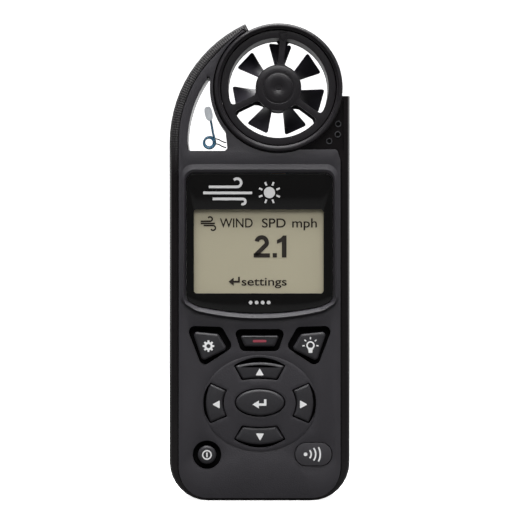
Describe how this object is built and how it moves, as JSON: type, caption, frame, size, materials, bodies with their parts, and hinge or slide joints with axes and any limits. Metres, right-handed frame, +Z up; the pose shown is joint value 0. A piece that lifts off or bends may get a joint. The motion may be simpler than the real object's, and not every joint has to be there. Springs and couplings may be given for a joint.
{
  "type": "handheld weather meter",
  "caption": "Pocket weather meter with a vane impeller in a round duct, a temperature bead in a side window, a display and a keypad.",
  "frame": {"origin": "under the middle of the foot, on the plane the meter stands on", "axes": "+Z up the meter to the impeller head, the display faces -Y, +X to the user's right"},
  "size_m": [0.048, 0.028, 0.127],
  "materials": {
    "case_gloss": "near-black moulded plastic, fine gloss",
    "fascia_matte": "charcoal plastic with a fine spark-eroded texture",
    "key_rubber": "satin silicone rubber with white legends",
    "seal_rubber": "matt black rubber",
    "lens_gloss": "polished acrylic, black printed from behind round a clear window",
    "lcd_glass": "reflective LCD, warm grey green",
    "white_plastic": "white light guide",
    "board": "green solder mask",
    "chip_black": "moulded sensor package",
    "badge_gloss": "smooth inlay with a white print",
    "impeller_black": "black moulded plastic, satin",
    "steel": "bright steel",
    "magnet": "nickel-plated ring magnet",
    "copper": "enamelled copper winding",
    "brass": "turned brass",
    "jewel": "polished synthetic ruby",
    "bead_glass": "grey translucent epoxy bead",
    "wire_blue": "blue enamelled lead",
    "wire_dark": "thin dark insulated lead",
    "battery_skin": "plain printed steel jacket"
  },
  "bodies": {
    "case": {"front_housing": "case_gloss", "rear_housing": "case_gloss", "housing_gasket": "seal_rubber", "housing_screw_1": "steel", "housing_screw_2": "steel", "housing_screw_3": "steel", "housing_screw_4": "steel", "front_fascia": "fascia_matte", "display_lens": "lens_gloss", "display_frame": "case_gloss", "lcd_panel": "lcd_glass", "backlight_panel": "white_plastic", "circuit_board": "board", "keypad_mat": "seal_rubber", "link_badge": "badge_gloss", "pressure_sensor": "steel", "humidity_sensor": "chip_black", "humidity_cover": "fascia_matte", "impeller_pickup": "copper", "impeller_shroud": "impeller_black", "impeller_rear_guard": "impeller_black", "hub_cap": "impeller_black", "front_jewel": "jewel", "rear_jewel": "jewel", "thermistor_bead": "bead_glass", "thermistor_lead": "wire_blue", "probe_tail_1": "wire_dark", "probe_tail_2": "wire_dark", "battery": "battery_skin", "battery_spring": "steel", "battery_plus_contact": "steel", "door_pin": "steel", "door_gasket": "seal_rubber", "tripod_insert": "brass"},
    "impeller_rotor": {"impeller": "impeller_black", "impeller_axle": "steel", "impeller_magnet": "magnet"},
    "battery_door": {"battery_door": "case_gloss"},
    "door_latch": {"door_latch": "steel", "latch_shank": "steel"},
    "key_settings": {"key_settings": "key_rubber"},
    "key_capture": {"key_capture": "key_rubber"},
    "key_backlight": {"key_backlight": "key_rubber"},
    "key_up": {"key_up": "key_rubber"},
    "key_down": {"key_down": "key_rubber"},
    "key_left": {"key_left": "key_rubber"},
    "key_right": {"key_right": "key_rubber"},
    "key_enter": {"key_enter": "key_rubber"},
    "key_power": {"key_power": "key_rubber"}
  },
  "joints": [
    {"name": "impeller_spin", "type": "hinge", "parent": "case", "child": "impeller_rotor", "pos_m": [0.005, -0.0037, 0.1099], "axis": [0, 1, 0], "continuous": true},
    {"name": "battery_door_swing", "type": "hinge", "parent": "case", "child": "battery_door", "pos_m": [0, 0.01285, 0.0058], "axis": [-1, 0, 0], "range_deg": [0, 100]},
    {"name": "door_latch_turn", "type": "hinge", "parent": "battery_door", "child": "door_latch", "pos_m": [0, 0.0133, 0.0666], "axis": [0, -1, 0], "range_deg": [0, 90]},
    {"name": "key_settings_press", "type": "slide", "parent": "case", "child": "key_settings", "axis": [0, 1, 0], "range_m": [0, 0.0006], "stiffness_N_per_m": 1500},
    {"name": "key_capture_press", "type": "slide", "parent": "case", "child": "key_capture", "axis": [0, 1, 0], "range_m": [0, 0.0006], "stiffness_N_per_m": 1500},
    {"name": "key_backlight_press", "type": "slide", "parent": "case", "child": "key_backlight", "axis": [0, 1, 0], "range_m": [0, 0.0006], "stiffness_N_per_m": 1500},
    {"name": "key_up_press", "type": "slide", "parent": "case", "child": "key_up", "axis": [0, 1, 0], "range_m": [0, 0.0006], "stiffness_N_per_m": 1500},
    {"name": "key_down_press", "type": "slide", "parent": "case", "child": "key_down", "axis": [0, 1, 0], "range_m": [0, 0.0006], "stiffness_N_per_m": 1500},
    {"name": "key_left_press", "type": "slide", "parent": "case", "child": "key_left", "axis": [0, 1, 0], "range_m": [0, 0.0006], "stiffness_N_per_m": 1500},
    {"name": "key_right_press", "type": "slide", "parent": "case", "child": "key_right", "axis": [0, 1, 0], "range_m": [0, 0.0006], "stiffness_N_per_m": 1500},
    {"name": "key_enter_press", "type": "slide", "parent": "case", "child": "key_enter", "axis": [0, 1, 0], "range_m": [0, 0.0006], "stiffness_N_per_m": 1500},
    {"name": "key_power_press", "type": "slide", "parent": "case", "child": "key_power", "axis": [0, 1, 0], "range_m": [0, 0.0006], "stiffness_N_per_m": 1500}
  ]
}
